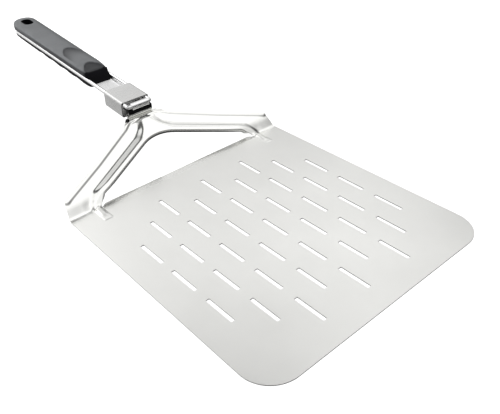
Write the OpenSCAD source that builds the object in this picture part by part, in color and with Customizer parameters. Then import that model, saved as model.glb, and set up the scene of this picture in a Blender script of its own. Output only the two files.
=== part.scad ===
// Folding pizza peel: a perforated sheet blade on a pressed yoke, a wire-framed handle that
// folds up and over the blade, and a sliding collar that locks the hinge.
// X runs across the blade, +Y towards the handle, +Z up. The blade's underside is z = 0 and
// the origin is the middle of the whole peel's footprint.

/* [Blade] */
// Width of the blade
blade_w = 305; // [280:1:330]
// Length of the blade from its back edge to its tip
blade_l = 320; // [310:1:340]
// Thickness of the sheet
sheet_t = 1; // [0.8:0.1:1.2]
// Radius of the two front corners
front_corner_r = 34; // [28:1:60]
// Length of one slot
slot_l = 36.5; // [30:0.5:40]
// Width of one slot
slot_w = 4; // [3:0.1:4.5]
// Distance between columns of slots
slot_pitch_x = 29.6; // [28:0.1:31]
// Distance between neighbouring rows of slots, which are staggered
slot_pitch_y = 27; // [26:0.1:28]
// Distance from the back edge to the middle of the nearest row of slots
slot_first_y = 58.3; // [55:0.1:62]

/* [Yoke] */
// Distance from the blade's back edge to the bend of the feet
foot_bend_y = 6; // [5:0.5:8]
// Height that the feet rise to before the arms begin
foot_rise = 14.2; // [12:0.1:15]
// Slope of the arms above the blade, in degrees
arm_angle = 24.7; // [23:0.1:26]
// Half width of the opening between the arms, at the blade
gap_half_w = 113; // [105:1:118]
// How far along Y the middle of the opening reaches
gap_y = 46; // [42:1:48]
// Half width of the neck
neck_half_w = 20.5; // [20:0.5:22]
// Depth of the pressed channel in each arm
channel_d = 2; // [1:0.5:2.5]
// Depth of the lip that is turned down along the opening
lip_d = 3.5; // [2:0.5:4]

/* [Hinge] */
// Distance from the blade's back edge to the hinge axis
hinge_y = 78; // [76:0.5:80]
// Height of the hinge axis above the blade's top face
hinge_h = 58.4; // [57:0.1:60]
// Outer radius of the hinge barrel
barrel_r = 4.5; // [4.2:0.1:4.6]
// Half length of the hinge barrel
barrel_half_l = 12.2; // [11:0.1:12.3]
// Radial clearance of the wire ends in the barrel
pin_clearance = 0.05; // [0.02:0.01:0.1]

/* [Handle] */
// Rise of the handle above the level, in degrees
handle_tilt = 3.9; // [3:0.1:5]
// Radius of the wire
wire_r = 2.5; // [2.3:0.1:2.6]
// Half distance between the two runs of wire, centre to centre
wire_half_w = 16; // [15.5:0.1:16.2]
// Thickness of the strip between the wires
spine_t = 1.2; // [1:0.1:1.2]
// Where the grip's nose begins, measured from the hinge axis
nose_u = 86; // [84:1:90]
// Where the grip's cover begins
cover_u = 104; // [102:1:106]
// Where the grip ends
grip_end = 329.5; // [328:0.5:334]
// Half width of the grip
grip_half_w = 17.2; // [16.8:0.1:18]
// Half width of the hang slot
hang_half_w = 6.4; // [5:0.1:7.5]
// Length of the hang slot
hang_l = 22; // [20:1:26]

/* [Collar] */
// Half width of the collar
collar_half_w = 20; // [20:0.1:20.5]
// Length of the collar
collar_l = 41; // [38:1:42]
// Where the collar's mouth stands at rest, measured from the hinge axis
collar_u = 10; // [10:0.5:11]
// Wall of the collar
collar_t = 1.1; // [1:0.05:1.15]
// Top of the collar above the wire's centre line
collar_top = 3.9; // [3.9:0.1:4.2]
// Bottom of the collar below the wire's centre line
collar_bottom = 17; // [16.8:0.1:17.5]

/* [Hidden] */
$fn = 64;

STEEL = [0.86, 0.86, 0.85];
BRUSHED = [0.76, 0.76, 0.75];
GREY = [0.43, 0.44, 0.45];
BLACK = [0.05, 0.05, 0.055];
BRASS = [0.75, 0.62, 0.30];

far = 500;
half_w = blade_w / 2;
hinge_z = sheet_t + hinge_h;
// the footprint runs from the blade's tip to the back of the grip
tail_y = hinge_y + grip_end * cos(handle_tilt);
mid_y = (tail_y - blade_l) / 2;

// the yoke's side view: blade, foot, arm and tongue, along the sheet's top face
arm_slope = tan(arm_angle);
foot_top_y = 7.6;
tongue_w = -14.4;
tongue_end = 9.6;
tongue_y = hinge_y + tongue_end * cos(handle_tilt) - tongue_w * sin(handle_tilt);
tongue_z = hinge_z + tongue_end * sin(handle_tilt) + tongue_w * cos(handle_tilt);
tilt_slope = tan(handle_tilt);
foot_top_z = sheet_t + foot_rise;
neck_y = (tongue_z - foot_top_z + arm_slope * foot_top_y - tilt_slope * tongue_y)
    / (arm_slope - tilt_slope);
neck_z = foot_top_z + arm_slope * (neck_y - foot_top_y);
yoke_line = [
    [-foot_bend_y - 30, sheet_t], [-foot_bend_y, sheet_t], [foot_top_y, foot_top_z],
    [neck_y, neck_z], [tongue_y, tongue_z]
];
// the bead at each foot bridges the bend and runs out on the blade
bead_line = [
    [-foot_bend_y - 30, sheet_t], [-foot_bend_y - 24, sheet_t], [-foot_bend_y, sheet_t + 2.6],
    [foot_top_y, foot_top_z], [foot_top_y + 10, foot_top_z + 10 * arm_slope]
];

// the arms in plan: y = offset - slope * x
ARM_SLOPE = 0.456;
outer_y = 80;
channel_outer_y = 75.6;
channel_inner_y = 62.6;
CHANNEL_SLOPE = 0.475;
GAP_SLOPE = 0.41;
foot_corner_x = 147;
channel_end = [19.5, 63.6];
channel_end_r = 7;
bead_half_w = 5;
bead_x = 118.5;

// the hinge's own sizes, from the axis: u along the handle, w above it
wire_bend_r = wire_half_w - barrel_half_l - 0.3;
shelf_w = -4.05;
bracket_t = 1.2;
bracket_front = -1.5;
bracket_back = 12;
bracket_half_w = 17;
spine_w = -wire_r - 0.05;
spine_front = 5.5;
spine_back = 236;
loop_r = wire_half_w;
loop_u = 305;

// the grip's own sizes
cover_w = wire_r + 0.1;
core_half_w = 13.4;
core_cap_half_w = 14.8;
base_front = 92;
base_back = 325;
screw_u = [118, 172, 226];
screw_r = 2;
head_r = 3.9;
insert_r = 3.1;
hang_u = 303.5;
liner_t = 1.4;
liner_top = 13.8;
liner_bottom = -8.6;
cover_wall = 2.4;
cover_front_w = 7.4;
cover_w_by_u = [[10, 11], [22, 12.6]];
shoulder_r = 4;
shoulder_w = 10.5;
ridge_w = 15.5;
nose_half_w = 10.5;
nose_top_w = 7.2;
// each thumb rest: its steep back edge, the bow of that edge, and its floor from back to front as [u, w]
rest_half_w = 13.2;
THUMB_RESTS = [
    [124, 0.075, [[124, 10.7], [103, 7.2]]],
    [183, 0.095, [[183, 11.2], [137, 13.2]]]
];
base_depth = 11;
base_half_w = grip_half_w + 0.4;
base_shoulder_r = 7;
scallop_r = 60;
scallop_pitch = 34;
fit = 0.05;

// the collar's friction spring
collar_floor = -collar_bottom + collar_t;
collar_corner_r = 2.4;
spring_w = 9;
spring_t = 0.5;
spring_from = collar_u + 13;
spring_to = collar_u + 35;
spring_foot = 5;
spring_crest = 8;
spring_gap = 0.35;
spring_rivet_r = 1.5;
function unit(v) = v / norm(v);
function up_normal(a, b) = let (d = unit(b - a)) [-d[1], d[0]];
function corner(line, i, depth) =
    let (
        last = len(line) - 1,
        before = up_normal(line[max(i - 1, 0)], line[max(i, 1)]),
        after = up_normal(line[min(i, last - 1)], line[min(i + 1, last)]),
        middle = unit(before + after)
    )
    line[i] - middle * depth / (middle * before);
function lowered(line, depth) = [for (i = [0 : len(line) - 1]) corner(line, i, depth)];
function reversed(line) = [for (i = [len(line) - 1 : -1 : 0]) line[i]];
function arc(centre, r, from, to, steps = 16) =
    [for (i = [0 : steps]) let (a = from + (to - from) * i / steps) centre + r * [cos(a), sin(a)]];

// everything is drawn from the blade's back edge and moved to the footprint's middle
module placed() { translate([0, -mid_y, 0]) children(); }
// the handle's own frame: x across, y along the handle from the hinge axis, z above the wires
module in_handle() { placed() translate([0, hinge_y, hinge_z]) rotate([handle_tilt, 0, 0]) children(); }
module both_sides() { for (s = [0, 1]) mirror([s, 0, 0]) children(); }
// a side view, drawn as [y, z], run across x
module across(width) { rotate([90, 0, 90]) linear_extrude(width, center = true) children(); }
// a plan view, drawn as [x, y], run through z
module through(low, high) { translate([0, 0, low]) linear_extrude(high - low) children(); }
// a cross section, drawn as [x, z], run along y
module along(from, to) { translate([0, to, 0]) rotate([90, 0, 0]) linear_extrude(to - from) children(); }

// a bent sheet that follows a side view, sunk by some depth
module bent_sheet(line, sink = 0) {
    top = lowered(line, sink);
    across(2 * far) polygon(concat(top, reversed(lowered(line, sink + sheet_t))));
}

module blade_plan() {
    difference() {
        translate([-half_w, -blade_l]) square([blade_w, blade_l]);
        both_sides() translate([half_w - front_corner_r, -blade_l + front_corner_r]) difference() {
            translate([0, -front_corner_r - 1]) square(front_corner_r + 1);
            circle(front_corner_r);
        }
        both_sides() translate([gap_half_w, -foot_bend_y]) square([half_w, far]);
        slots_plan();
    }
}

module slots_plan() {
    for (column = [-4 : 4], row = [0 : 8]) {
        // odd and even columns are half a pitch apart, and the two outer ones are shorter
        staggered = (row + abs(column)) % 2 == 0;
        first = abs(column) == 4 ? 2 : 0;
        last = abs(column) == 4 ? 6 : 8;
        if (staggered && row >= first && row <= last)
            translate([column * slot_pitch_x, -slot_first_y - row * slot_pitch_y])
                square([slot_w, slot_l], center = true);
    }
}

// one arm with its foot, as a plan: a band between two sloping edges
module arm_band(outer, inner, inner_slope) {
    polygon([
        [0, outer], [foot_corner_x, outer - ARM_SLOPE * foot_corner_x], [half_w, -foot_bend_y],
        [gap_half_w, -foot_bend_y], [gap_half_w - 8, inner - inner_slope * (gap_half_w - 8)],
        [0, inner]
    ]);
}

module yoke_plan() {
    both_sides() arm_band(outer_y, gap_y, GAP_SLOPE);
    // the neck, with a fillet against each arm, and the narrower tongue that the collar locks
    fillet_r = 16;
    fillet_y = outer_y - ARM_SLOPE * neck_half_w;
    difference() {
        translate([-neck_half_w - 9, gap_y]) square([2 * neck_half_w + 18, hinge_y + 2.5 - gap_y]);
        both_sides() translate([neck_half_w + fillet_r, fillet_y + 10]) circle(fillet_r);
        both_sides() translate([neck_half_w, fillet_y + 10]) square(far);
    }
    translate([-bracket_half_w, gap_y]) square([2 * bracket_half_w, far]);
}

// the pressed channel of one arm, which runs out over the foot
module channel_plan(grow = 0) {
    top = channel_outer_y + grow;
    bottom = channel_inner_y - grow;
    polygon([
        [channel_end[0], top - CHANNEL_SLOPE * channel_end[0]],
        [foot_corner_x - 5, top - CHANNEL_SLOPE * (foot_corner_x - 5)],
        [half_w + 1, 3 + grow], [half_w + 1, -foot_bend_y - 1], [bead_x + 6.5 - grow, -foot_bend_y - 1],
        [bead_x + 5.5 - grow, -1 - grow], [bead_x - 5 - grow, bottom - CHANNEL_SLOPE * (bead_x - 5)],
        [channel_end[0], bottom - CHANNEL_SLOPE * channel_end[0]]
    ]);
    translate(channel_end) circle(channel_end_r + grow);
}

// the dart that stiffens the bend and carries on up the foot into the strip beside the opening
module bead_plan() {
    front = -foot_bend_y - 18;
    polygon([
        [bead_x - bead_half_w, front], [bead_x + bead_half_w, front], [bead_x + bead_half_w, -1],
        [bead_x - bead_half_w, foot_top_y + 0.5], [bead_x - 3 * bead_half_w, foot_top_y + 0.5],
        [bead_x - bead_half_w, -foot_bend_y + 1]
    ]);
    translate([bead_x, front]) circle(bead_half_w);
}

// One stamping: blade, feet, arms, neck and tongue
module peel_head() {
    color(STEEL) placed() {
        difference() {
            through(0, sheet_t) blade_plan();
            both_sides() through(-1, far) bead_plan();
        }
        // neck, flanges and the strips beside the channels
        intersection() {
            bent_sheet(yoke_line);
            through(0, far) difference() {
                yoke_plan();
                both_sides() channel_plan();
                both_sides() bead_plan();
            }
        }
        // channel floors, one sheet depth lower, and the feet
        intersection() {
            bent_sheet([for (i = [0 : 4]) yoke_line[i] - [0, i < 2 ? 0 : channel_d]]);
            through(0, far) intersection() {
                yoke_plan();
                both_sides() difference() {
                    channel_plan(sheet_t);
                    bead_plan();
                }
            }
        }
        // channel walls
        intersection() {
            bent_sheet_band(yoke_line, channel_d + sheet_t);
            through(0, far) intersection() {
                yoke_plan();
                both_sides() difference() {
                    channel_plan(sheet_t);
                    channel_plan();
                    bead_plan();
                }
            }
        }
        // beads that stiffen the bends
        intersection() {
            bent_sheet(bead_line);
            both_sides() through(-far, far) bead_plan();
        }
        // lips turned down along the opening
        intersection() {
            bent_sheet_band(yoke_line, lip_d + sheet_t);
            through(0, far) intersection() {
                yoke_plan();
                both_sides() polygon([
                    [0, gap_y], [0, gap_y + sheet_t * 1.1],
                    [gap_half_w - 8, gap_y + sheet_t * 1.1 - GAP_SLOPE * (gap_half_w - 8)],
                    [gap_half_w - 8, gap_y - GAP_SLOPE * (gap_half_w - 8)]
                ]);
            }
        }
    }
}

// the space under a side view, down to some depth measured along z
module bent_sheet_band(line, depth) {
    across(2 * far) polygon(concat(line, [for (p = reversed(line)) p - [0, depth]]));
}

// Folded sheet: foot flange, upright front and the shelf that the barrel and the handle rest on
module hinge_bracket() {
    color(STEEL) in_handle() difference() {
        across(2 * bracket_half_w) polygon([
            [bracket_front, tongue_w], [tongue_end, tongue_w], [tongue_end, tongue_w + bracket_t],
            [bracket_front + bracket_t, tongue_w + bracket_t],
            [bracket_front + bracket_t, shelf_w - bracket_t],
            [bracket_back, shelf_w - bracket_t], [bracket_back, shelf_w], [bracket_front, shelf_w]
        ]);
        across(far) circle(barrel_r + fit);
        rivet_places() translate([0, 0, -far]) cylinder(r = screw_r, h = far);
    }
}

// Tube that the wire's ends turn in
module hinge_barrel() {
    color(STEEL) in_handle() across(2 * barrel_half_l) difference() {
        circle(barrel_r);
        circle(wire_r + pin_clearance);
    }
}

module rivet_places() { both_sides() translate([10.5, 5.2, 0]) children(); }

module bracket_rivets() {
    color(STEEL) in_handle() rivet_places() {
        translate([0, 0, tongue_w]) cylinder(r = screw_r, h = bracket_t + 1);
        translate([0, 0, tongue_w + bracket_t]) cylinder(r1 = 3.6, r2 = 2.6, h = 1, $fn = 48);
    }
}

// One bent wire: two hinge ends, two long runs and the loop inside the grip
module wire_frame() {
    end_x = 2;
    color(STEEL) in_handle() {
        both_sides() {
            translate([end_x, 0, 0]) rotate([0, 90, 0])
                cylinder(r = wire_r, h = wire_half_w - wire_bend_r - end_x);
            translate([wire_half_w - wire_bend_r, wire_bend_r, 0]) rotate([0, 0, -90])
                rotate_extrude(angle = 90) translate([wire_bend_r, 0]) circle(wire_r);
            translate([wire_half_w, wire_bend_r, 0]) rotate([-90, 0, 0])
                cylinder(r = wire_r, h = loop_u - wire_bend_r);
        }
        translate([0, loop_u, 0]) rotate_extrude(angle = 180) translate([loop_r, 0]) circle(wire_r);
    }
}

// Flat brushed strip under the wires
module spine_plate() {
    color(BRUSHED) in_handle() difference() {
        through(spine_w - spine_t, spine_w) translate([-wire_half_w, spine_front])
            square([2 * wire_half_w, spine_back - spine_front]);
        for (u = screw_u) translate([0, u, -far / 2]) cylinder(r = screw_r + 0.3, h = far);
    }
}

module collar_section(inset, r) {
    w = collar_half_w - inset;
    top = collar_top - inset;
    bottom = -collar_bottom + inset;
    difference() {
        translate([-w, bottom]) square([2 * w, top - bottom]);
        for (x = [-w + r, w - r], y = [bottom + r, top - r])
            translate([x, y]) difference() {
                translate([x > 0 ? 0 : -r - 1, y > -5 ? 0 : -r - 1]) square(r + 1);
                circle(r);
            }
    }
}

// Sheet sleeve that slides along the wires and takes in the tongue
module lock_collar() {
    color(BRUSHED) in_handle() difference() {
        along(collar_u, collar_u + collar_l) difference() {
            collar_section(0, collar_corner_r);
            collar_section(collar_t, collar_corner_r - collar_t);
        }
        spring_rivet_places() translate([0, 0, -far]) cylinder(r = spring_rivet_r, h = far);
    }
}

module spring_rivet_places() {
    for (u = [spring_from, spring_to]) translate([0, u + spring_rivet_r, 0]) children();
}

// Bowed leaf that rubs on the strip's underside and holds the collar where it is put
module collar_spring() {
    foot_top = collar_floor + spring_t;
    bow_top = spine_w - spine_t - spring_gap;
    middle = (spring_from + spring_to) / 2 + spring_rivet_r;
    line = [
        [spring_from - 2, foot_top], [spring_from + spring_foot, foot_top],
        [middle - spring_crest / 2, bow_top], [middle + spring_crest / 2, bow_top],
        [spring_to - 2, foot_top], [spring_to + spring_foot, foot_top]
    ];
    color(STEEL) in_handle() difference() {
        across(spring_w) polygon(concat(line, reversed(lowered(line, spring_t))));
        spring_rivet_places() translate([0, 0, -far]) cylinder(r = spring_rivet_r, h = far);
    }
}

module spring_rivets() {
    color(STEEL) in_handle() spring_rivet_places() {
        translate([0, 0, -collar_bottom]) cylinder(r = spring_rivet_r, h = collar_t + spring_t + 0.8);
        translate([0, 0, collar_floor + spring_t]) cylinder(r1 = 2.5, r2 = 1.8, h = 0.8);
    }
}

// the grip in plan: straight sides and a round back
module grip_plan(front, half, back) {
    translate([-half, front]) square([2 * half, back - half - front]);
    translate([0, back - half]) circle(half);
}

// the cover's side view, sunk by some depth
module cover_side(sink, front, low) {
    back = grip_end - sink;
    polygon(concat(
        [[front, low], [front, cover_front_w - sink]],
        [for (p = cover_w_by_u) [cover_u + p[0], p[1] - sink]],
        [
            [hang_u - 5, 14.5 - sink], [back - 13, 14.2 - sink], [back - 5, 11.8 - sink / 2],
            [back - 1, 8 - sink / 2], [back, 5], [back, low]
        ]
    ));
}

// the thumb rests: each has a bowed, steep back edge and a floor that runs out to the front
module thumb_rests(sink) {
    half = rest_half_w + sink;
    for (rest = THUMB_RESTS) intersection() {
        back = rest[2][0];
        front = rest[2][1];
        across(far) polygon([
            front - [0, sink], back + [sink, -sink], [back[0] + sink, far], [front[0], far]
        ]);
        through(0, far) polygon(concat(
            [[-half, front[0]]],
            [for (x = [-half : half / 12 : half + fit]) [x, rest[0] + sink - rest[1] * x * x]],
            [[half, front[0]]]
        ));
    }
}

// the cover's cross section with rounded shoulders
module crown(sink) {
    half = grip_half_w - sink;
    shoulder = arc([half - shoulder_r, shoulder_w - sink], shoulder_r, 0, 70, 6);
    along(cover_u - 5, grip_end + 5) polygon(concat(
        [[half, -far]], shoulder, [[0, ridge_w - sink]],
        reversed([for (p = shoulder) [-p[0], p[1]]]), [[-half, -far]]
    ));
}

module hang_slot(grow, low, high) {
    r = hang_half_w + grow;
    reach = hang_l / 2 - hang_half_w;
    through(low, high) {
        translate([-r, hang_u - reach]) square([2 * r, 2 * reach]);
        for (s = [-1, 1]) translate([0, hang_u + s * reach]) circle(r);
    }
}

// the core's room under the cover, between and over the wires
module core_space(grow) {
    sink = cover_wall - grow;
    // between the wires
    intersection() {
        across(2 * (core_half_w + grow)) cover_side(sink, nose_u, spine_w);
        through(spine_w, cover_w) grip_plan(nose_u, core_half_w + grow, loop_u + core_half_w + grow);
    }
    // over the wires, inside the cover
    difference() {
        intersection() {
            across(far) cover_side(sink, cover_u, cover_w);
            through(cover_w, far) grip_plan(cover_u - 1, core_cap_half_w + grow, grip_end - 3 + grow);
            crown(sink);
        }
        thumb_rests(sink);
    }
}

// the sloping nose, narrow at the strip and as wide as the cover above the wires
module core_nose() {
    wide = grip_half_w - 0.5;
    intersection() {
        across(far) polygon([
            [nose_u, spine_w], [cover_u - 2, nose_top_w], [cover_u, cover_front_w], [cover_u, spine_w]
        ]);
        through(spine_w, far) polygon([
            [-nose_half_w, nose_u], [nose_half_w, nose_u], [wide, cover_u - 2], [wide, cover_u],
            [-wide, cover_u], [-wide, cover_u - 2]
        ]);
        union() {
            through(spine_w, far) translate([-core_half_w, nose_u]) square([2 * core_half_w, far]);
            through(cover_w, far) translate([-wide, nose_u]) square([2 * wide, far]);
        }
    }
}

// Black core: nose, the filling between the wires and the cap that carries the cover
module grip_core() {
    color(BLACK) in_handle() difference() {
        union() {
            intersection() {
                core_space(0);
                translate([-far, cover_u, -far]) cube(2 * far);
            }
            core_nose();
        }
        for (u = screw_u) translate([0, u, spine_w - 1]) cylinder(r = insert_r, h = 6.5);
        hang_slot(liner_t, -far, far);
    }
}

// Grey upper shell
module grip_cover() {
    color(GREY) in_handle() difference() {
        intersection() {
            across(far) cover_side(0, cover_u + fit, cover_w);
            through(cover_w, far) grip_plan(cover_u, grip_half_w, grip_end);
            crown(0);
        }
        thumb_rests(0);
        core_space(fit);
        hang_slot(liner_t, -far, far);
    }
}

// Black lower shell with finger scallops
module grip_base() {
    shoulder = arc([base_half_w - base_shoulder_r, -4.5], base_shoulder_r, -75, 0, 6);
    color(BLACK) in_handle() difference() {
        intersection() {
            across(far) difference() {
                polygon([
                    [base_front, -cover_w], [base_front + 2, -8], [base_front + 14, -base_depth],
                    [240, 2 - base_depth], [300, 1.2 - base_depth], [base_back - 4, -7.5],
                    [base_back, -cover_w]
                ]);
                for (u = [128 : scallop_pitch : 230])
                    translate([u, 2.6 - base_depth - scallop_r]) circle(scallop_r, $fn = 180);
            }
            through(-base_depth - 1, 0) grip_plan(base_front, base_half_w, base_back + 1);
            along(base_front - 1, grip_end) polygon(concat(
                [[base_half_w, 0]], reversed(shoulder),
                [for (p = shoulder) [-p[0], p[1]]], [[-base_half_w, 0]]
            ));
        }
        // seat of the strip
        translate([-wire_half_w - 0.1, base_front - 1, spine_w - spine_t - fit])
            cube([2 * wire_half_w + 0.2, spine_back + 1 - base_front, 10]);
        for (u = screw_u) translate([0, u, 0]) {
            translate([0, 0, -far]) cylinder(r = screw_r + 0.2, h = far);
            translate([0, 0, -far - 7]) cylinder(r = head_r + 0.1, h = far);
        }
        hang_slot(liner_t, -far, far);
    }
}

module grip_screws() {
    color(BRUSHED) in_handle() for (u = screw_u) translate([0, u, 0]) difference() {
        union() {
            translate([0, 0, -7]) cylinder(r = screw_r, h = 9);
            translate([0, 0, -8.6]) cylinder(r = head_r, h = 1.6);
        }
        // hexagon socket
        translate([0, 0, -8.7]) cylinder(r = 1.5, h = 1.2, $fn = 6);
    }
}

module grip_inserts() {
    color(BRASS) in_handle() for (u = screw_u) translate([0, u, spine_w + 0.05]) difference() {
        cylinder(r = insert_r, h = 5.4);
        translate([0, 0, -1]) cylinder(r = screw_r + 0.02, h = 10);
    }
}

// Black liner of the slot that the peel hangs from
module hang_liner() {
    color(BLACK) in_handle() difference() {
        intersection() {
            hang_slot(liner_t - fit, -far, far);
            translate([-far / 2, 0, liner_bottom]) cube([far, far, liner_top - liner_bottom]);
        }
        hang_slot(0, -far, far);
    }
}

peel_head();
hinge_bracket();
hinge_barrel();
bracket_rivets();
wire_frame();
spine_plate();
lock_collar();
collar_spring();
spring_rivets();
grip_core();
grip_cover();
grip_base();
grip_screws();
grip_inserts();
hang_liner();
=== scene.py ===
import math

import bpy
import numpy as np
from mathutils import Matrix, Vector
from mathutils.geometry import delaunay_2d_cdt


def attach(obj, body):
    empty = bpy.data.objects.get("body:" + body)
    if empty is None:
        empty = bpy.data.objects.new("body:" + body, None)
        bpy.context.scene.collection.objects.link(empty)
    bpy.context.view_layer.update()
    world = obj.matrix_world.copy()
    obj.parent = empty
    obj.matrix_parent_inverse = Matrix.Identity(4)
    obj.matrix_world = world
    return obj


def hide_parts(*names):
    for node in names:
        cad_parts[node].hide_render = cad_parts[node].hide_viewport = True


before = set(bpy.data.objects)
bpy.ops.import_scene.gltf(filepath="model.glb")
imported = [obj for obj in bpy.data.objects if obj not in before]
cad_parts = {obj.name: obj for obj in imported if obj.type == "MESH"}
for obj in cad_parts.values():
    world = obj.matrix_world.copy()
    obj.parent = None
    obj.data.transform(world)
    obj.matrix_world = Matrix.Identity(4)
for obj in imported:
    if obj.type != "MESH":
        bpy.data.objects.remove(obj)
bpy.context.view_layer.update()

# ---------------------------------------------------------------- places
# Lengths are in millimetres from the blade's back edge and top face; at() turns them into the frame.
MID_Y = 43.368
SHEET = 1.0
HINGE = (78.0, 58.4)
TILT = math.radians(3.9)
HALF_W, BLADE_L, FRONT_R = 152.5, 320.0, 34.0


def at(p):
    """A point of the head, or an array of them, in metres in the row frame."""
    p = np.asarray(p, float)
    return (p + [0, -MID_Y, SHEET]) / 1000


def grip_at(p):
    """A point (x, u along the handle, w above the wires), or an array of them, in the row frame."""
    p = np.asarray(p, float)
    x, u, w = p[..., 0], p[..., 1], p[..., 2]
    y = HINGE[0] + u * math.cos(TILT) - w * math.sin(TILT)
    z = HINGE[1] + u * math.sin(TILT) + w * math.cos(TILT)
    return at(np.stack([x, y, z], -1))


# ---------------------------------------------------------------- shapes
def step(t):
    t = np.clip(t, 0, 1)
    return t * t * (3 - 2 * t)


def soft_ramp(t, w):
    """max(t, 0) with its corner rounded over +-w."""
    return np.where(t < -w, 0, np.where(t > w, t, (t + w) ** 2 / (4 * w)))


def fillet(corners, spacing, closed=True):
    """A polyline through corners (x, y, radius), with arcs at the corners and points every spacing."""
    c = [np.array(p[:2], float) for p in corners]
    r = [p[2] for p in corners]
    n = len(c)
    line = []
    for i in range(n):
        if not closed and i in (0, n - 1):
            line.append(c[i])
            continue
        a, b = c[i - 1] - c[i], c[(i + 1) % n] - c[i]
        la, lb = np.linalg.norm(a), np.linalg.norm(b)
        a, b = a / la, b / lb
        half = math.acos(max(-1, min(1, a @ b))) / 2
        if r[i] <= 0 or half > math.pi / 2 - 0.01:
            line.append(c[i])
            continue
        back = min(r[i] / math.tan(half), 0.49 * la, 0.49 * lb)
        radius = back * math.tan(half)
        middle = c[i] + (a + b) / np.linalg.norm(a + b) * radius / math.sin(half)
        start, end = c[i] + a * back - middle, c[i] + b * back - middle
        turn = math.atan2(start[0] * end[1] - start[1] * end[0], start @ end)
        steps = max(3, int(abs(turn) * radius / spacing) + 1)
        for k in range(steps + 1):
            t = turn * k / steps
            line.append(middle + [start[0] * math.cos(t) - start[1] * math.sin(t),
                                  start[0] * math.sin(t) + start[1] * math.cos(t)])
    out = []
    for i, p in enumerate(line):
        if i == len(line) - 1 and not closed:
            out.append(p)
            break
        q = line[(i + 1) % len(line)]
        steps = max(1, int(np.linalg.norm(q - p) / spacing + 0.5))
        out += [p + (q - p) * k / steps for k in range(steps)]
    return np.array(out)


def distance(points, line, closed=False):
    """Distance of every point from a polyline."""
    a = line if closed else line[:-1]
    b = np.roll(line, -1, 0) if closed else line[1:]
    best = np.full(len(points), 1e9)
    for p, q in zip(a, b):
        d = q - p
        t = np.clip((points - p) @ d / max(d @ d, 1e-12), 0, 1)
        best = np.minimum(best, np.linalg.norm(points - p - t[:, None] * d, axis=1))
    return best


def inside(points, loop):
    x, y = points[:, 0], points[:, 1]
    hit = np.zeros(len(points), bool)
    for (x0, y0), (x1, y1) in zip(loop, np.roll(loop, -1, 0)):
        if y0 != y1:
            cross = (y0 > y) != (y1 > y)
            hit ^= cross & (x < (x1 - x0) * (y - y0) / (y1 - y0) + x0)
    return hit


def lattice(low, high, spacing):
    """Points of a triangular grid."""
    rows = np.arange(low[1], high[1], spacing * 0.866)
    out = []
    for i, y in enumerate(rows):
        xs = np.arange(low[0] + (i % 2) * spacing / 2, high[0], spacing)
        out.append(np.stack([xs, np.full(len(xs), y)], 1))
    return np.concatenate(out)


def triangulate(loops, seeds):
    """Triangles over the first loop less the others. The loops' points come first and keep their order."""
    points = np.concatenate(loops + [seeds])
    edges, start = [], 0
    for loop in loops:
        n = len(loop)
        edges += [(start + i, start + (i + 1) % n) for i in range(n)]
        start += n
    made = delaunay_2d_cdt([Vector(p) for p in points], edges, [], 0, 1e-6, True)
    verts = np.array([v[:] for v in made[0]])
    tris = np.array([f for f in made[2] if len(f) == 3])
    middle = verts[tris].mean(1)
    keep = inside(middle, loops[0])
    for hole in loops[1:]:
        keep &= ~inside(middle, hole)
    new_of = {}
    for new, olds in enumerate(made[3]):
        for old in olds:
            new_of[old] = new
    rings, start = [], 0
    for loop in loops:
        rings.append([new_of[start + i] for i in range(len(loop))])
        start += len(loop)
    return verts, tris[keep], rings


def area(loop):
    """Twice the signed area of a loop, positive when it runs counter-clockwise."""
    return np.sum(loop[:, 0] * np.roll(loop[:, 1], -1) - loop[:, 1] * np.roll(loop[:, 0], -1))


def ccw(loop):
    return loop if area(loop) > 0 else loop[::-1]


def outward(loop, hole=False):
    """Plan direction out of the solid at each point of a loop."""
    before, after = loop - np.roll(loop, 1, 0), np.roll(loop, -1, 0) - loop
    before /= np.linalg.norm(before, axis=1)[:, None]
    after /= np.linalg.norm(after, axis=1)[:, None]
    t = before + after
    t /= np.maximum(np.linalg.norm(t, axis=1), 1e-9)[:, None]
    n = np.stack([t[:, 1], -t[:, 0]], 1) * (1 if area(loop) > 0 else -1)
    return -n if hole else n


def mesh_object(name, verts, faces, place, sharp=35, flip=False, cut=None):
    """A smooth mesh object. The faces numbered in cut take the second material."""
    mesh = bpy.data.meshes.new(name)
    if flip:
        faces = [f[::-1] for f in faces]
    mesh.from_pydata(place(np.asarray(verts)).tolist(), [], [list(map(int, f)) for f in faces])
    if cut is not None:
        numbers = np.zeros(len(faces), np.int32)
        numbers[cut] = 1
        mesh.materials.append(None)
        mesh.materials.append(None)
        mesh.polygons.foreach_set("material_index", numbers)
    mesh.validate()
    mesh.update()
    mesh.shade_smooth()
    mesh.set_sharp_from_angle(angle=math.radians(sharp))
    obj = bpy.data.objects.new(name, mesh)
    bpy.context.scene.collection.objects.link(obj)
    weighted = obj.modifiers.new("flat faces stay flat", "WEIGHTED_NORMAL")
    weighted.keep_sharp = True
    weighted.weight = 80
    return obj


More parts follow.
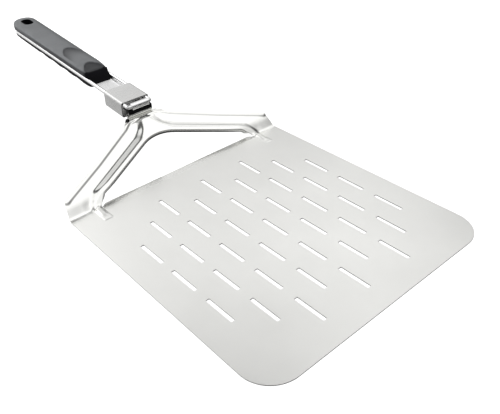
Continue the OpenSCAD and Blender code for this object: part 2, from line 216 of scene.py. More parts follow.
def relief(name, loops, seeds, top, bottom, rim, place, sharp=35, flip=False, is_cut=None):
    """A solid over a plan.

    top(xy) and bottom(xy) give its faces, rim(loop number, loop) the rows of points between them, and
    is_cut(loop number, row, point) tells which of the rim's faces take the second material.
    """
    plan, tris, rings = triangulate(loops, seeds)
    upper, lower = top(plan), bottom(plan)
    n = len(plan)
    verts = [upper, lower]
    faces = [tuple(t) for t in tris] + [tuple(t + n)[::-1] for t in tris]
    count = 2 * n
    cut = []
    for number, ring in enumerate(rings):
        rows = [np.array(ring)]
        for points in rim(number, loops[number]):
            verts.append(points)
            rows.append(np.arange(count, count + len(ring)))
            count += len(ring)
        rows.append(np.array(ring) + n)
        loop = loops[number]
        forward = (area(loop) > 0) == (number == 0)
        for k, (a, b) in enumerate(zip(rows, rows[1:])):
            for i in range(len(ring)):
                j = (i + 1) % len(ring)
                quad = (a[i], b[i], b[j], a[j])
                if is_cut and is_cut(number, k, loop[i]):
                    cut.append(len(faces))
                faces.append(quad if forward else quad[::-1])
    return mesh_object(name, np.concatenate(verts), faces, place, sharp, flip, cut if is_cut else None)


def raised(plan, height):
    return np.column_stack([plan, height])


def extruded(name, outer, inner, low, high, place, sharp=35, chamfer=0.25):
    """A section with an optional hole, run between two stations, with its end edges eased."""
    def rows(loop, hole):
        n = outward(loop, hole)
        eased = loop - n * chamfer
        return [(eased, low), (loop, low + chamfer), (loop, high - chamfer), (eased, high)]

    verts, faces, rings = [], [], []
    count = 0
    for loop, hole in ((outer, False),) + (((inner, True),) if inner is not None else ()):
        idx = []
        for section, station in rows(loop, hole):
            verts.append(np.column_stack([section, np.full(len(section), station)]))
            idx.append(np.arange(count, count + len(section)))
            count += len(section)
        for a, b in zip(idx, idx[1:]):
            for i in range(len(a)):
                j = (i + 1) % len(a)
                quad = (a[i], a[j], b[j], b[i])
                faces.append(quad[::-1] if hole else quad)
        rings.append(idx)
    if inner is None:
        faces += [tuple(rings[0][0])[::-1], tuple(rings[0][-1])]
    else:
        for end in (0, -1):
            a, b = rings[0][end], rings[1][end]
            for i in range(len(a)):
                j = (i + 1) % len(a)
                quad = (a[i], a[j], b[j], b[i])
                faces.append(quad[::-1] if end else quad)
    return mesh_object(name, np.concatenate(verts), faces, place, sharp)


# ---------------------------------------------------------------- finishes
def nodes_of(name):
    m = bpy.data.materials.new(name)
    m.use_nodes = True
    t = m.node_tree
    return m, t, t.nodes["Principled BSDF"]


def scaled_noise(t, scale, detail, stretch=(1, 1, 1), rough=0.5):
    coord = t.nodes.new("ShaderNodeTexCoord")
    mapping = t.nodes.new("ShaderNodeMapping")
    mapping.inputs["Scale"].default_value = stretch
    noise = t.nodes.new("ShaderNodeTexNoise")
    noise.inputs["Scale"].default_value = scale
    noise.inputs["Detail"].default_value = detail
    noise.inputs["Roughness"].default_value = rough
    t.links.new(coord.outputs["Object"], mapping.inputs["Vector"])
    t.links.new(mapping.outputs["Vector"], noise.inputs["Vector"])
    return noise.outputs["Fac"]


def spread(t, value, low, high):
    r = t.nodes.new("ShaderNodeMapRange")
    r.inputs["From Min"].default_value = 0.3
    r.inputs["From Max"].default_value = 0.7
    r.inputs["To Min"].default_value = low
    r.inputs["To Max"].default_value = high
    t.links.new(value, r.inputs["Value"])
    return r.outputs["Result"]


def tinted(t, value, dark, light):
    mix = t.nodes.new("ShaderNodeMix")
    mix.data_type = "RGBA"
    mix.inputs["A"].default_value = (*dark, 1)
    mix.inputs["B"].default_value = (*light, 1)
    t.links.new(spread(t, value, 0, 1), mix.inputs["Factor"])
    return mix.outputs["Result"]


def bumped(t, shader, value, strength, depth):
    b = t.nodes.new("ShaderNodeBump")
    b.inputs["Strength"].default_value = strength
    b.inputs["Distance"].default_value = depth
    t.links.new(value, b.inputs["Height"])
    t.links.new(b.outputs["Normal"], shader.inputs["Normal"])


def steel(name, dark, light, rough, stretch, grain=900, bump=0.15, depth=2e-5):
    """Metal with a rolled or brushed grain that runs along the axis with the smallest stretch."""
    m, t, s = nodes_of(name)
    s.inputs["Metallic"].default_value = 1.0
    lines = scaled_noise(t, grain, 4, stretch)
    cloud = scaled_noise(t, 14, 3)
    t.links.new(tinted(t, cloud, dark, light), s.inputs["Base Color"])
    t.links.new(spread(t, lines, rough[0], rough[1]), s.inputs["Roughness"])
    bumped(t, s, lines, bump, depth)
    return m


def plastic(name, dark, light, rough, bump=0.3, grain=2600, depth=4e-5):
    m, t, s = nodes_of(name)
    fine = scaled_noise(t, grain, 2)
    cloud = scaled_noise(t, 30, 4)
    t.links.new(tinted(t, cloud, dark, light), s.inputs["Base Color"])
    t.links.new(spread(t, fine, rough[0], rough[1]), s.inputs["Roughness"])
    bumped(t, s, fine, bump, depth)
    return m


SATIN = steel("satin_sheet", (0.885, 0.885, 0.86), (0.93, 0.93, 0.905), (0.13, 0.18), (0.12, 1, 1),
              grain=900, bump=0.05, depth=1e-5)
SHEARED = steel("sheared_edge", (0.22, 0.22, 0.215), (0.34, 0.34, 0.33), (0.35, 0.5), (1, 1, 0.1),
                grain=1200, bump=0.3)
POLISHED = steel("polished_wire", (0.88, 0.88, 0.88), (0.95, 0.95, 0.95), (0.08, 0.15), (1, 1, 1),
                 grain=400, bump=0.05)
BRUSHED = steel("brushed_strip", (0.72, 0.72, 0.71), (0.82, 0.82, 0.81), (0.22, 0.34), (0.03, 1, 1),
                grain=1500, bump=0.2)
PLATE = steel("brushed_plate", (0.86, 0.86, 0.86), (0.95, 0.95, 0.95), (0.22, 0.34), (1, 0.03, 1),
              grain=1500, bump=0.2)
# painted shade: near-black steel that stands for the deep shade under the hinge barrel
SHADE_BLACK = steel("shade_black_steel", (0.008, 0.008, 0.009), (0.02, 0.02, 0.022), (0.22, 0.34), (1, 1, 1),
              grain=1200, bump=0.1)
BLACK = plastic("black_plastic", (0.002, 0.002, 0.003), (0.006, 0.006, 0.008), (0.3, 0.42))
BLACK.node_tree.nodes["Principled BSDF"].inputs["Specular IOR Level"].default_value = 0.04
GREY = plastic("grey_soft_plastic", (0.175, 0.182, 0.190), (0.215, 0.223, 0.232), (0.42, 0.54))
BRASS = steel("knurled_brass", (0.62, 0.46, 0.18), (0.78, 0.62, 0.30), (0.25, 0.4), (1, 1, 1),
              grain=1800, bump=0.5)


def satin_blade():
    """The blade's flat is matter than the formed yoke: its extra roughness fades out at the bend."""
    t = SATIN.node_tree
    shader = t.nodes["Principled BSDF"]
    fine = shader.inputs["Roughness"].links[0].from_socket
    coord = t.nodes.new("ShaderNodeTexCoord")
    split = t.nodes.new("ShaderNodeSeparateXYZ")
    more = t.nodes.new("ShaderNodeMapRange")
    for name, v in (("From Min", -0.054), ("From Max", -0.043), ("To Min", 0.15), ("To Max", 0.0)):
        more.inputs[name].default_value = v
    add = t.nodes.new("ShaderNodeMath")
    add.operation = "ADD"
    t.links.new(coord.outputs["Object"], split.inputs["Vector"])
    t.links.new(split.outputs["Y"], more.inputs["Value"])
    t.links.new(more.outputs["Result"], add.inputs[0])
    t.links.new(fine, add.inputs[1])
    t.links.new(add.outputs["Value"], shader.inputs["Roughness"])


def blend_in_painted_shade(material, dark):
    """Painted shade on the grey cover: the mesh's painted_shade attribute blends the base colour to the dark
    colour, down the cover's sides and in its thumb rests.
    """
    t = material.node_tree
    shader = t.nodes["Principled BSDF"]
    grey = shader.inputs["Base Color"].links[0].from_socket
    painted_shade = t.nodes.new("ShaderNodeAttribute")
    painted_shade.attribute_name = "painted_shade"
    mix = t.nodes.new("ShaderNodeMix")
    mix.data_type = "RGBA"
    mix.inputs["B"].default_value = (*dark, 1)
    t.links.new(painted_shade.outputs["Fac"], mix.inputs["Factor"])
    t.links.new(grey, mix.inputs["A"])
    t.links.new(mix.outputs["Result"], shader.inputs["Base Color"])


satin_blade()
# painted shade: the dark colour that the cover's sides and thumb rests are painted with
blend_in_painted_shade(GREY, (0.016, 0.018, 0.021))


def finish_piece(obj, body, material, slot, *nodes, edge=None):
    """Gives a new piece its materials and its body, and hides the CAD nodes that it replaces. The slot
    argument is not used.
    """
    if edge:
        obj.data.materials[0] = material
        obj.data.materials[1] = edge
    else:
        obj.data.materials.clear()
        obj.data.materials.append(material)
    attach(obj, body)
    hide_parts(*nodes)


def carry(node, material, ease=0.25):
    """A CAD node that is shown as it is, with eased edges and its own finish."""
    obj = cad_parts[node]
    obj.data.materials.clear()
    obj.data.materials.append(material)
    bevel = obj.modifiers.new("eased edges", "BEVEL")
    bevel.width = ease / 1000
    bevel.segments = 2
    bevel.limit_method = "ANGLE"
    bevel.angle_limit = math.radians(40)
    bevel.harden_normals = True


# ---------------------------------------------------------------- the head
# the arm's outer edge and the opening's edge on the middle line, and the slope of both
OUTER, GAP, ARM_SLOPE = 79.8, 48.6, 0.46
# the lip along the opening: radius of its bend and depth
LIP_R, LIP_D = 2.5, 4.7
# how far cut edges are eased, and half the width of the creases of the channel's inner wall
EDGE, CREASE = 0.3, 0.22
# a slot's half width and half length, the pitch of the slots, and where their first row is
SLOT_SIZE, SLOT_PITCH, SLOT_FIRST = (2.0, 18.25), (29.6, 27), 58.3
# the dart's distance from the middle line, and where the fine part of the head's mesh begins
DART_X, FINE_Y = 118.4, -34


def side_profile(y):
    """Height of the sheet's top face along the blade, the feet, the arms and the tongue."""
    foot, arm, tongue = 1.05, 0.46, math.tan(TILT)
    return (foot * soft_ramp(y + 6, 2.0) + (arm - foot) * soft_ramp(y - 7.8, 4.0)
            + (tongue - arm) * soft_ramp(y - 71.3, 4.0))


# the channel of the right arm: the crease on the flange's side, and the foot and the top of its inner wall
FLANGE_LINE = fillet([
    (160, 22, 0), (146, 8.3, 5), (88, 35.4, 20), (31.8, 64.2, 14), (21, 72.0, 9), (12.5, 73.4, 4),
    (2.0, 73.8, 0)], 2.0, closed=False)
WALL_FOOT = fillet([
    (126.0, -8.0, 0), (124.0, 1.9, 8), (113.8, 11.3, 14), (80.6, 27.4, 20), (31.2, 51.0, 16),
    (19.2, 59.6, 10), (12.9, 73.0, 0)], 2.0, closed=False)
WALL_TOP = fillet([
    (122.6, -8.0, 0), (116.9, 1.0, 8), (103.2, 8.0, 14), (52.0, 31.2, 20), (22.0, 45.0, 14),
    (11.5, 57.0, 10), (2.0, 73.8, 0)], 2.0, closed=False)


def signed(points, line):
    """Distance from an open line, positive on its right-hand side."""
    best, sign = np.full(len(points), 1e9), np.ones(len(points))
    for p, q in zip(line[:-1], line[1:]):
        d = q - p
        t = np.clip((points - p) @ d / (d @ d), 0, 1)
        r = points - p - t[:, None] * d
        near = np.linalg.norm(r, axis=1)
        side = d[1] * (points[:, 0] - p[0]) - d[0] * (points[:, 1] - p[1])
        better = near < best
        best = np.where(better, near, best)
        sign = np.where(better, np.where(side >= 0, 1.0, -1.0), sign)
    return best * sign


def wall(t, w):
    """A straight rise from 0 to 1 with both its corners rounded over +-w."""
    return soft_ramp(t, w) - soft_ramp(t - 1, w)


def channel_depth(plan):
    """How far the channels are pressed down, which is nothing on the blade."""
    p = np.column_stack([abs(plan[:, 0]), plan[:, 1]])
    near = p[:, 1] > -12
    depth = np.zeros(len(p))
    q = p[near]
    top, foot = signed(q, WALL_TOP), signed(q, WALL_FOOT)
    inner = wall(top / np.maximum(top - foot, 0.5), CREASE)
    from_flange = -signed(q, FLANGE_LINE)
    flange = wall(from_flange / 1.3, 0.35)
    # deeper towards the inner wall, and a little more where that wall runs out over the foot
    deep = 1.8 + 1.4 * step(from_flange / 15)
    deep += 0.7 * (1 - step((foot - 1) / 8)) * (1 - step((q[:, 1] - 2) / 9))
    depth[near] = deep * inner * flange * step((q[:, 1] + 8) / 7)
    return depth


def dart(plan):
    """The raised strip that bridges the bend of each foot and runs out on the blade."""
    x, y = abs(plan[:, 0]), plan[:, 1]
    skew = np.clip((y + 7) / 11, 0, 1) * 9.5
    off = abs(x + skew - DART_X)
    ramp = 0.115 * (y + 29)
    tip = step((y + 29.5) / 11)
    return np.where(y < 14, np.maximum(ramp, 0) * tip * (1 - step((off - 1.2) / 3.8)), 0)


def on_foot(x, y):
    """False on the blade between the feet, which stays flat up to its cut edge."""
    return (y > 0.6) | (x > 106.1 - 1.246 * (y + 0.2))


def head_height(plan):
    x, y = abs(plan[:, 0]), plan[:, 1]
    base = side_profile(y) * on_foot(x, y)
    floor = np.maximum(base - channel_depth(plan), 0)
    raised_strip = dart(plan)
    # a soft maximum, so that the dart runs into the foot without a crease
    gap = floor - raised_strip
    return np.where(raised_strip > 0, raised_strip + soft_ramp(gap, 1.2), floor)


def normals_of(height, plan, h=0.05):
    gx = (height(plan + [h, 0]) - height(plan - [h, 0])) / (2 * h)
    gy = (height(plan + [0, h]) - height(plan - [0, h])) / (2 * h)
    n = np.column_stack([-gx, -gy, np.ones(len(plan))])
    return n / np.linalg.norm(n, axis=1)[:, None]


def mirrored(half):
    """A closed outline from its right half, which starts and ends on x = 0."""
    return half + [(-x, y, r) for x, y, r in half[::-1] if abs(x) > 1e-9]


def lip_share(loop):
    """How far the opening's edge is rolled down: fully along the arms, not at all along the blade."""
    x, y = abs(loop[:, 0]), loop[:, 1]
    return step((y + 2.5) / 6) * step((113 - x) / 6) * on_foot(x, y)


def head_outline():
    return fillet(mirrored([
        (0, -BLADE_L, 0), (HALF_W, -BLADE_L, FRONT_R), (HALF_W, -6, 3),
        (147.5, OUTER - ARM_SLOPE * 147.5, 4), (34, OUTER - ARM_SLOPE * 34, 14), (21.5, 80, 3),
        (17, 80.8, 0), (17, 88.4, 1), (0, 88.4, 0)]), 1.1)


def gap_outline():
    edge = GAP + LIP_R * 1.1
    return fillet(mirrored([
        (0, edge, 56), (93, edge - ARM_SLOPE * 93, 12), (103.2, 4.9, 8), (114.4, -5.2, 0.5),
        (112.9, -5.9, 0.3), (105.8, -0.2, 3), (0, -0.2, 0)]), 1.0)


def slot_outlines():
    """Staggered rows and columns of slots. The two outer columns are shorter."""
    w, l = SLOT_SIZE[0] + EDGE, SLOT_SIZE[1] + EDGE
    slots = []
    for column in range(-4, 5):
        for row in range(9):
            staggered = (row + abs(column)) % 2 == 0
            if staggered and (abs(column) < 4 or 2 <= row <= 6):
                x, y = column * SLOT_PITCH[0], -SLOT_FIRST - row * SLOT_PITCH[1]
                corners = [(x - w, y - l, 0.9), (x + w, y - l, 0.9), (x + w, y + l, 0.9), (x - w, y + l, 0.9)]
                slots.append(fillet(corners, 3))
    return slots


def head_seeds(loops):
    """Points to mesh the head over: a wide grid on the blade and a fine one on the yoke and the darts."""
    seeds = np.concatenate([
        lattice((-HALF_W, -BLADE_L), (HALF_W, FINE_Y), 9.0),
        lattice((-HALF_W, FINE_Y), (HALF_W, 90), 0.85)])
    flat = (seeds[:, 1] > FINE_Y) & (seeds[:, 1] < -9) & (abs(abs(seeds[:, 0]) - DART_X) > 9)
    seeds = np.concatenate([seeds[~flat], lattice((-HALF_W, FINE_Y + 1), (HALF_W, -9), 5.0)])
    outer, gap, slots = loops[0], loops[1], loops[2:]
    seeds = seeds[inside(seeds, outer) & ~inside(seeds, gap)]
    room = np.where(seeds[:, 1] > FINE_Y, 0.45, 2.5)
    away = np.minimum(distance(seeds, outer, True), distance(seeds, gap, True)) > room
    for slot in slots:
        away &= (distance(seeds, slot, True) > 2.5) & ~inside(seeds, slot)
    return seeds[away]


def lip_paths():
    """The sheet's edge at the opening as (out, down) points: turned down as a lip, and plain."""
    def bend(radius, sink, degrees):
        return [(radius * math.sin(a), sink + radius * (1 - math.cos(a))) for a in np.radians(degrees)]

    turned = bend(LIP_R, 0, [15, 30, 45, 60, 75, 90])
    foot = LIP_D + 0.25
    turned += [(LIP_R, LIP_D), (LIP_R - 0.2, foot), (LIP_R - 0.8, foot), (LIP_R - SHEET, LIP_D)]
    turned += bend(LIP_R - SHEET, SHEET, [90, 60, 30])
    plain = [(LIP_R * t / 6 * 0.25, 0.0) for t in range(1, 7)]
    plain += [(0.45, EDGE), (0.45, 0.4), (0.45, 0.6), (0.45, SHEET - EDGE)]
    plain += [(0.4, SHEET), (0.2, SHEET), (0.1, SHEET)]
    return np.array(turned), np.array(plain)


def make_head():
    outer = head_outline()
    loops = [outer - outward(outer) * EDGE, gap_outline()] + slot_outlines()
    turned, plain = lip_paths()
    eased = [(0.6 * EDGE, 0.12 * EDGE), (EDGE, EDGE), (EDGE, SHEET - EDGE), (0.6 * EDGE, SHEET - 0.12 * EDGE)]

    def top(plan):
        return raised(plan, head_height(plan))

    def bottom(plan):
        return top(plan) - normals_of(head_height, plan) * SHEET

    def rim(number, loop):
        n = normals_of(head_height, loop)
        o = outward(loop, number > 0)
        rise = -(n[:, 0] * o[:, 0] + n[:, 1] * o[:, 1]) / n[:, 2]
        out = np.column_stack([o, rise])
        out /= np.linalg.norm(out, axis=1)[:, None]
        p = top(loop)
        if number != 1:
            return [p + out * a - n * b for a, b in eased]
        share = lip_share(loop)[:, None]
        rows = []
        for flat, lip in zip(plain, turned):
            a, b = flat[0] + (lip[0] - flat[0]) * share, flat[1] + (lip[1] - flat[1]) * share
            rows.append(p + out * a - n * b)
        return rows

    def sheared(number, row, point):
        if number != 1:
            return row in (2, 3)
        return row in (7, 8, 9) or (row == 10 and lip_share(point[None])[0] <= 0.5)

    obj = relief("head_sheet", loops, head_seeds(loops), top, bottom, rim, at, sharp=50, is_cut=sheared)
    finish_piece(obj, "head", SATIN, "head_steel", "peel_head", edge=SHEARED)


make_head()


# ---------------------------------------------------------------- the hinge
def across(p):
    """A side view (u, w) with its station x, as extruded() gives it, in the row frame."""
    p = np.asarray(p, float)
    return grip_at(np.stack([p[..., 2], p[..., 0], p[..., 1]], -1))


def along(p):
    """A cross section (x, w) with its station u."""
    p = np.asarray(p, float)
    return grip_at(np.stack([p[..., 0], p[..., 2], p[..., 1]], -1))


def ribbon(corners, thickness, spacing=0.5):
    """The outline of a bent strip that lies on the right-hand side of an open line of corners."""
    line = fillet(corners, spacing, closed=False)
    d = np.gradient(line, axis=0)
    d /= np.linalg.norm(d, axis=1)[:, None]
    n = np.column_stack([d[:, 1], -d[:, 0]])
    return np.concatenate([line, (line + n * thickness)[::-1]])


# the barrel's outer radius, bore and half length, and half the width of its seam in degrees
BARREL_R, BORE_R, BARREL_HALF, SEAM = 4.5, 2.62, 12.2, 3.2
# the bracket: top and bottom shelf, front, and half its width
SHELF_W, FOOT_W, FRONT_U, BRACKET_HALF = -4.05, -14.4, -1.5, 17


def make_hinge():
    line = [(12, SHELF_W, 0), (FRONT_U, SHELF_W, 2.0), (FRONT_U, FOOT_W, 3.2), (9.6, FOOT_W, 0)]
    bracket = ccw(ribbon(line, -1.2))
    obj = extruded("bracket_sheet", bracket, None, -BRACKET_HALF, BRACKET_HALF, across)
    # painted shade and highlight: its upper part is made black for the deep shade under the barrel, and the
    # bend at its foot is given bright satin for the light that it catches
    painted_highlight_below = HINGE[1] + SHEET - 9.9
    obj.data.materials.append(SHADE_BLACK)
    obj.data.materials.append(SATIN)
    for face in obj.data.polygons:
        face.material_index = int(face.center.z * 1000 < painted_highlight_below)
    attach(obj, "head")
    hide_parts("hinge_bracket")
    # a rolled tube with its seam towards the front
    seam = math.radians(180 - 19)
    angles = seam + np.linspace(math.radians(SEAM), math.radians(360 - SEAM), 72)
    ring = [(BARREL_R * math.cos(a), BARREL_R * math.sin(a)) for a in angles]
    ring += [(BORE_R * math.cos(a), BORE_R * math.sin(a)) for a in angles[::-1]]
    obj = extruded("barrel_tube", ccw(np.array(ring)), None, -BARREL_HALF, BARREL_HALF, across, chamfer=0.3)
    finish_piece(obj, "head", POLISHED, "wire_steel", "hinge_barrel")


make_hinge()


def even(loop, count):
    """The loop again with count points, evenly spaced from its lowest-left point, so that two loops match."""
    start = int(np.argmin(loop[:, 0] + loop[:, 1]))
    loop = np.roll(loop, -start, 0)
    closed = np.vstack([loop, loop[:1]])
    length = np.concatenate([[0], np.cumsum(np.linalg.norm(np.diff(closed, axis=0), axis=1))])
    s = np.linspace(0, length[-1], count, endpoint=False)
    return np.column_stack([np.interp(s, length, closed[:, 0]), np.interp(s, length, closed[:, 1])])


# the collar's half width, top, bottom, corner radius and wall, and its stations along the handle
COLLAR_HALF, COLLAR_TOP, COLLAR_BOTTOM, COLLAR_R, COLLAR_WALL = 20, 3.9, -17, 2.8, 1.1
COLLAR_FROM, COLLAR_TO = 10, 51


def make_collar():
    def section(sink):
        half, top, bottom, r = COLLAR_HALF - sink, COLLAR_TOP - sink, COLLAR_BOTTOM + sink, COLLAR_R - sink
        corners = [(-half, bottom, r), (half, bottom, r), (half, top, r), (-half, top, r)]
        return even(ccw(fillet(corners, 0.5)), 220)

    outer, inner = section(0), section(COLLAR_WALL)
    obj = extruded("collar_sleeve", outer, inner, COLLAR_FROM, COLLAR_TO, along, chamfer=0.3)
    finish_piece(obj, "collar", BRUSHED, "brushed_strip", "lock_collar")


make_collar()

# ---------------------------------------------------------------- the grip
# half width, and as stations along the handle the grip's end, the cover's front and the hang slot's middle
GRIP_HALF, GRIP_END, COVER_U, SLOT_U = 17.2, 329.5, 104.05, 303.5
# radius of the cover's shoulders
SHOULDER = 4.4
# the hang slot in the shells, which leave room for its liner: half width and half the straight part
SLOT_HALF, SLOT_REACH = 6.4 + 0.7, 4.6
# each thumb rest: where its back edge starts, how it bows, its depth behind and how it runs out to the front
THUMB_RESTS = ((124.0, 0.075, 1.7, 1.2, 20), (183.0, 0.095, 1.9, -1.9, 46))


def slot_loop(half):
    u0, u1 = SLOT_U - SLOT_REACH, SLOT_U + SLOT_REACH
    a = np.linspace(0, math.pi, 20)
    points = [(half * math.cos(t), u1 + half * math.sin(t)) for t in a]
    points += [(-half * math.cos(t), u0 - half * math.sin(t)) for t in a]
    return np.array(points)


def cover_height(plan):
    x, u = plan[:, 0], plan[:, 1]
    stations = [100, 104, 109, 115, 124, 160, 220, 298, 312, 320, 326, 330]
    heights = [9.2, 10.0, 11.0, 11.9, 12.7, 13.0, 13.5, 14.3, 14.2, 13.7, 12.8, 11.8]
    w = np.interp(u, stations, heights) - 1.8 * (abs(x) / GRIP_HALF) ** 2.4
    for back, bow, depth, more, length in THUMB_RESTS:
        v = back - bow * x * x - u
        hollow = step(v / 2.6) * np.maximum(depth + more * np.clip(v / length, 0, 1), 0)
        w = w - hollow * (1 - np.clip(abs(x) / 13.2, 0, 1) ** 5)
    return w


def grip_outline(half, front, end):
    back_r = half * 0.98
    return fillet([(-half, front, 0.6), (half, front, 0.6), (half, end, back_r), (-half, end, back_r)], 1.2)


def paint_cover_shade(obj):
    """Painted shade on the cover: the painted_shade value of every vertex, 0 on the pad's top, up to 1 down
    its sides and in the thumb rests.
    """
    p = np.empty(len(obj.data.vertices) * 3)
    obj.data.vertices.foreach_get("co", p)
    p = p.reshape(-1, 3) * 1000 + [0, MID_Y, -SHEET] - [0, HINGE[0], HINGE[1]]
    x, u = p[:, 0], p[:, 1] * math.cos(TILT) + p[:, 2] * math.sin(TILT)
    w = p[:, 2] * math.cos(TILT) - p[:, 1] * math.sin(TILT)
    # painted shade down the cover's sides, below the pad's top
    sides = 1 - step((w - 7.6) / 2.4)
    # painted shade: the pad is painted a little darker towards its right side too
    sides = np.maximum(sides, 0.55 * step((x - 5) / 12))
    # painted shade in the thumb rests, darkest just in front of their back edges
    rest_shade = np.zeros(len(x))
    for (back, bow, _, _, _), strength, length in zip(THUMB_RESTS, (0.97, 0.75), (60, 34)):
        v = back - bow * x * x - u
        rest_shade = np.maximum(rest_shade, strength * step(v / 1.5) * (1 - step((v - 3) / length)) * (abs(x) < 14))
    painted_shade = obj.data.attributes.new("painted_shade", "FLOAT", "POINT")
    painted_shade.data.foreach_set("value", np.maximum(sides, rest_shade))


def make_cover():
    outer = grip_outline(GRIP_HALF - SHOULDER, COVER_U + 0.8, GRIP_END - SHOULDER)
    hole = slot_loop(SLOT_HALF + 0.8)
    seeds = lattice((-GRIP_HALF, COVER_U), (GRIP_HALF, GRIP_END), 1.3)
    seeds = seeds[inside(seeds, outer) & ~inside(seeds, hole)]
    seeds = seeds[(distance(seeds, outer, True) > 0.7) & (distance(seeds, hole, True) > 0.7)]
    thick = 1.8

    def top(plan):
        return raised(plan, cover_height(plan))

    def bottom(plan):
        return raised(plan, cover_height(plan) - thick)

    def rim(number, loop):
        p = top(loop)
        o = np.column_stack([outward(loop, number > 0), np.zeros(len(loop))])
        up = np.array([0, 0, 1.0])
        if number:
            return [p + o * 0.5 - up * 0.12, p + o * 0.8 - up * 0.7, p + o * 0.8 - up * (thick - 0.1)]
        # the front edge stays square, the sides and the back get a round shoulder
        front = step((loop[:, 1] - COVER_U - 0.9) / 0.8)[:, None]
        r = 0.8 + (SHOULDER - 0.8) * front
        rows = []
        for a in np.radians([12, 24, 36, 48, 60, 72, 84, 90]):
            rows.append(p + o * r * math.sin(a) - up * r * (1 - math.cos(a)))
        low = 2.75
        for reach, height in ((0.0, low + 0.5), (-0.15, low + 0.12), (-0.5, low), (-thick + 0.2, low)):
            q = p + o * (r + reach)
            q[:, 2] = height
            rows.append(q)
        q = p + o * (r - thick)
        q[:, 2] = low + 0.3
        rows.append(q)
        rows.append(p + o * (r - thick) * 0.9 - up * (r + 0.4 * thick))
        rows.append(p + o * (r - thick) * 0.4 - up * (thick + 0.25 * r))
        return rows

    obj = relief("cover_shell", [outer, hole], seeds, top, bottom, rim, grip_at, sharp=40)
    paint_cover_shade(obj)
    finish_piece(obj, "handle", GREY, "grey_plastic", "grip_cover")


make_cover()


# the screws' stations, the radius of their bores, and the top of the base below the wires
SCREW_U, BORE, BASE_TOP = (118, 172, 226), 4.1, 3.85


def base_depth(plan):
    """How far the base reaches below the wires, with finger scallops along it."""
    x, u = plan[:, 0], plan[:, 1]
    stations = [92, 94, 100, 108, 240, 300, 320, 326]
    depths = [8.6, 9.6, 10.6, 11.0, 10.0, 9.2, 8.0, 6.5]
    d = np.interp(u, stations, depths)
    wave = np.cos((u - 111) / 34 * 2 * math.pi)
    d -= 1.1 * (1 - wave) / 2 * step((u - 108) / 8) * (1 - step((u - 235) / 14))
    return d - 1.0 * (x / GRIP_HALF) ** 2


def make_base():
    half, shoulder = 17.4, 4.5
    outer = grip_outline(half - shoulder, 92 + 1.2, 326 - shoulder)
    hole = slot_loop(SLOT_HALF + 0.6)
    turn = np.linspace(0, 2 * math.pi, 40)[:-1]
    bores = [np.column_stack([BORE * np.cos(turn), u + BORE * np.sin(turn)]) for u in SCREW_U]
    seeds = lattice((-half, 90), (half, 330), 1.6)
    seeds = seeds[inside(seeds, outer)]
    seeds = seeds[distance(seeds, outer, True) > 0.8]
    for loop in [hole] + bores:
        seeds = seeds[(distance(seeds, loop, True) > 0.8) & ~inside(seeds, loop)]

    def top(plan):
        return raised(plan, base_depth(plan))

    def bottom(plan):
        return raised(plan, np.full(len(plan), BASE_TOP))

    def rim(number, loop):
        p = top(loop)
        o = np.column_stack([outward(loop, number > 0), np.zeros(len(loop))])
        up = np.array([0, 0, 1.0])
        if number:
            edge = np.column_stack([(p + o * 0.3)[:, :2], np.full(len(p), BASE_TOP)])
            return [p + o * 0.2 - up * 0.1, p + o * 0.3 - up * 0.4, edge]
        front = step((loop[:, 1] - 93.4) / 1.5)[:, None]
        r = 1.2 + (shoulder - 1.2) * front
        around = np.radians([15, 30, 45, 60, 75, 90])
        rows = [p + o * r * math.sin(a) - up * r * (1 - math.cos(a)) for a in around]
        for reach, height in ((0.0, 3.0), (-0.2, 2.7), (-0.9, 2.65), (-1.0, BASE_TOP)):
            q = p + o * (r + reach)
            q[:, 2] = height
            rows.append(q)
        return rows

    def upside_down(p):
        p = np.array(p, float)
        p[..., 2] *= -1
        return grip_at(p)

    loops = [outer, hole] + bores
    obj = relief("base_shell", loops, seeds, top, bottom, rim, upside_down, sharp=40, flip=True)
    finish_piece(obj, "handle", BLACK, "black_plastic", "grip_base")


make_base()

# ---------------------------------------------------------------- carried over from the CAD
carry("wire_frame", POLISHED, 0.2)
carry("spine_plate", PLATE, 0.2)
carry("grip_core", BLACK, 0.5)
carry("hang_liner", BLACK, 0.3)
carry("grip_screws", POLISHED, 0.2)
carry("grip_inserts", BRASS, 0.1)
carry("bracket_rivets", POLISHED, 0.15)
carry("collar_spring", POLISHED, 0.08)
carry("spring_rivets", POLISHED, 0.15)


# ---------------------------------------------------------------- floor, light and camera
def make_floor():
    """A pale plane just below the object, kept out of reflections so that the steel mirrors the studio."""
    mesh = bpy.data.meshes.new("floor")
    s = 40.0
    mesh.from_pydata([(-s, -s, 0), (s, -s, 0), (s, s, 0), (-s, s, 0)], [], [(0, 1, 2, 3)])
    obj = bpy.data.objects.new("floor", mesh)
    bpy.context.scene.collection.objects.link(obj)
    obj.location.z = -0.0004
    obj.visible_glossy = False
    m, t, shader = nodes_of("pale_floor")
    pale = tinted(t, scaled_noise(t, 3, 2), (0.90, 0.90, 0.90), (0.92, 0.92, 0.92))
    t.links.new(pale, shader.inputs["Base Color"])
    shader.inputs["Roughness"].default_value = 1.0
    shader.inputs["Specular IOR Level"].default_value = 0.0
    shader.inputs["Emission Color"].default_value = (1, 1, 1, 1)
    shader.inputs["Emission Strength"].default_value = 0.7
    mesh.materials.append(m)


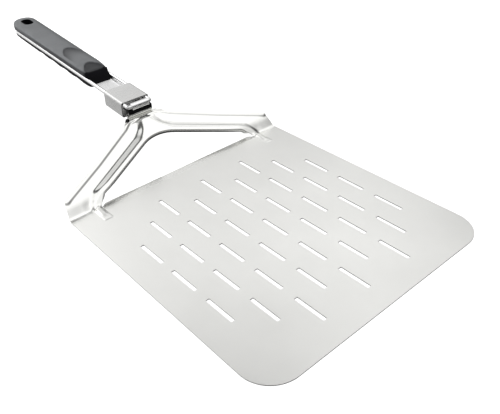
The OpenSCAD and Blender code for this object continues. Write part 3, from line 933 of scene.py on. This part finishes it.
def make_world():
    """A studio of two soft boxes, one behind the object and one before it, with a dark slit between them."""
    world = bpy.data.worlds.new("studio")
    bpy.context.scene.world = world
    world.use_nodes = True
    t = world.node_tree
    back = t.nodes["Background"]
    # a curve's values end at 1, so the profiles are scaled by the most that they may reach
    top_value = 1.5
    coord = t.nodes.new("ShaderNodeTexCoord")

    def towards(direction):
        dot = t.nodes.new("ShaderNodeVectorMath")
        dot.operation = "DOT_PRODUCT"
        dot.inputs[1].default_value = direction
        t.links.new(coord.outputs["Generated"], dot.inputs[0])
        return dot.outputs["Value"]

    def mapped(value, low, high, out_low, out_high):
        r = t.nodes.new("ShaderNodeMapRange")
        r.interpolation_type = "SMOOTHSTEP"
        for name, v in (("From Min", low), ("From Max", high), ("To Min", out_low), ("To Max", out_high)):
            r.inputs[name].default_value = v
        t.links.new(value, r.inputs["Value"])
        return r.outputs["Result"]

    def math_node(operation, a, b):
        m = t.nodes.new("ShaderNodeMath")
        m.operation = operation
        for socket, v in zip(m.inputs, (a, b)):
            if isinstance(v, (int, float)):
                socket.default_value = v
            else:
                t.links.new(v, socket)
        return m.outputs["Value"]

    def profile(value, points):
        """A curve through (height, brightness) points."""
        curve = t.nodes.new("ShaderNodeFloatCurve")
        c = curve.mapping.curves[0]
        span = [(z + 1) / 2 for z, _ in points]
        c.points[0].location = (span[0], points[0][1] / top_value)
        c.points[1].location = (span[-1], points[-1][1] / top_value)
        for z, (_, v) in list(zip(span, points))[1:-1]:
            c.points.new(z, v / top_value)
        for p in c.points:
            p.handle_type = "VECTOR"
        curve.mapping.update()
        t.links.new(math_node("ADD", math_node("MULTIPLY", value, 0.5), 0.5), curve.inputs["Value"])
        return math_node("MULTIPLY", curve.outputs["Value"], top_value)

    height = towards((0, 0, 1))
    side = towards((-0.454, 0.891, 0))
    behind = profile(height, BEHIND)
    before = profile(height, BEFORE)
    # the box behind is brighter at both its ends
    behind = math_node("MULTIPLY", behind, mapped(side, 0.08, 0.45, 1.16, 1.04))
    behind = math_node("MULTIPLY", behind, mapped(side, 0.46, 0.8, 1.0, 1.9))
    share = mapped(side, -0.12, 0.14, 0, 1)
    mix = math_node("ADD", math_node("MULTIPLY", behind, share),
                    math_node("MULTIPLY", before, math_node("SUBTRACT", 1, share)))
    off = math_node("ABSOLUTE", math_node("SUBTRACT", side, SLIT[0]), 0)
    slit = math_node("MULTIPLY", mapped(off, SLIT[1], SLIT[2], 1, 0), mapped(height, 0.78, 0.84, 0, 1))
    total = math_node("MULTIPLY", mix, math_node("SUBTRACT", 1, math_node("MULTIPLY", slit, 0.93)))
    t.links.new(total, back.inputs["Strength"])
    back.inputs["Color"].default_value = (1, 1, 1, 1)


# brightness of the studio by the sine of the height above the horizon
BEHIND = [
    (-1, 0.26), (-0.05, 0.26), (-0.035, 1.0), (0.04, 1.0), (0.06, 0.30), (0.30, 0.36), (0.42, 0.50),
    (0.48, 0.60), (0.523, 0.70), (0.56, 1.02), (0.60, 1.12), (0.64, 1.05), (0.70, 0.77), (0.77, 0.60),
    (0.84, 0.98), (1.0, 1.0)]
BEFORE = [
    (-1, 0.05), (-0.05, 0.05), (-0.035, 1.0), (0.04, 1.0), (0.06, 0.05), (0.30, 0.10), (0.40, 0.25),
    (0.48, 0.40), (0.56, 0.55), (0.62, 0.66), (0.70, 0.90), (0.78, 1.08), (0.87, 1.2), (1.0, 1.1)]
# the slit: its place to the side, and the half widths of its dark core and of its soft edge
SLIT = (0.25, 0.09, 0.17)


def make_camera():
    data = bpy.data.cameras.new("camera")
    data.sensor_width = 36
    data.lens = 43.96
    data.clip_start, data.clip_end = 0.01, 50
    obj = bpy.data.objects.new("camera", data)
    obj.location = (-0.3432, -0.5838, 0.3910)
    obj.rotation_euler = [math.radians(a) for a in (54.38, 2.39, -41.389)]
    bpy.context.scene.collection.objects.link(obj)
    bpy.context.scene.camera = obj


make_floor()
make_world()
make_camera()
bpy.context.scene.view_settings.view_transform = "Standard"
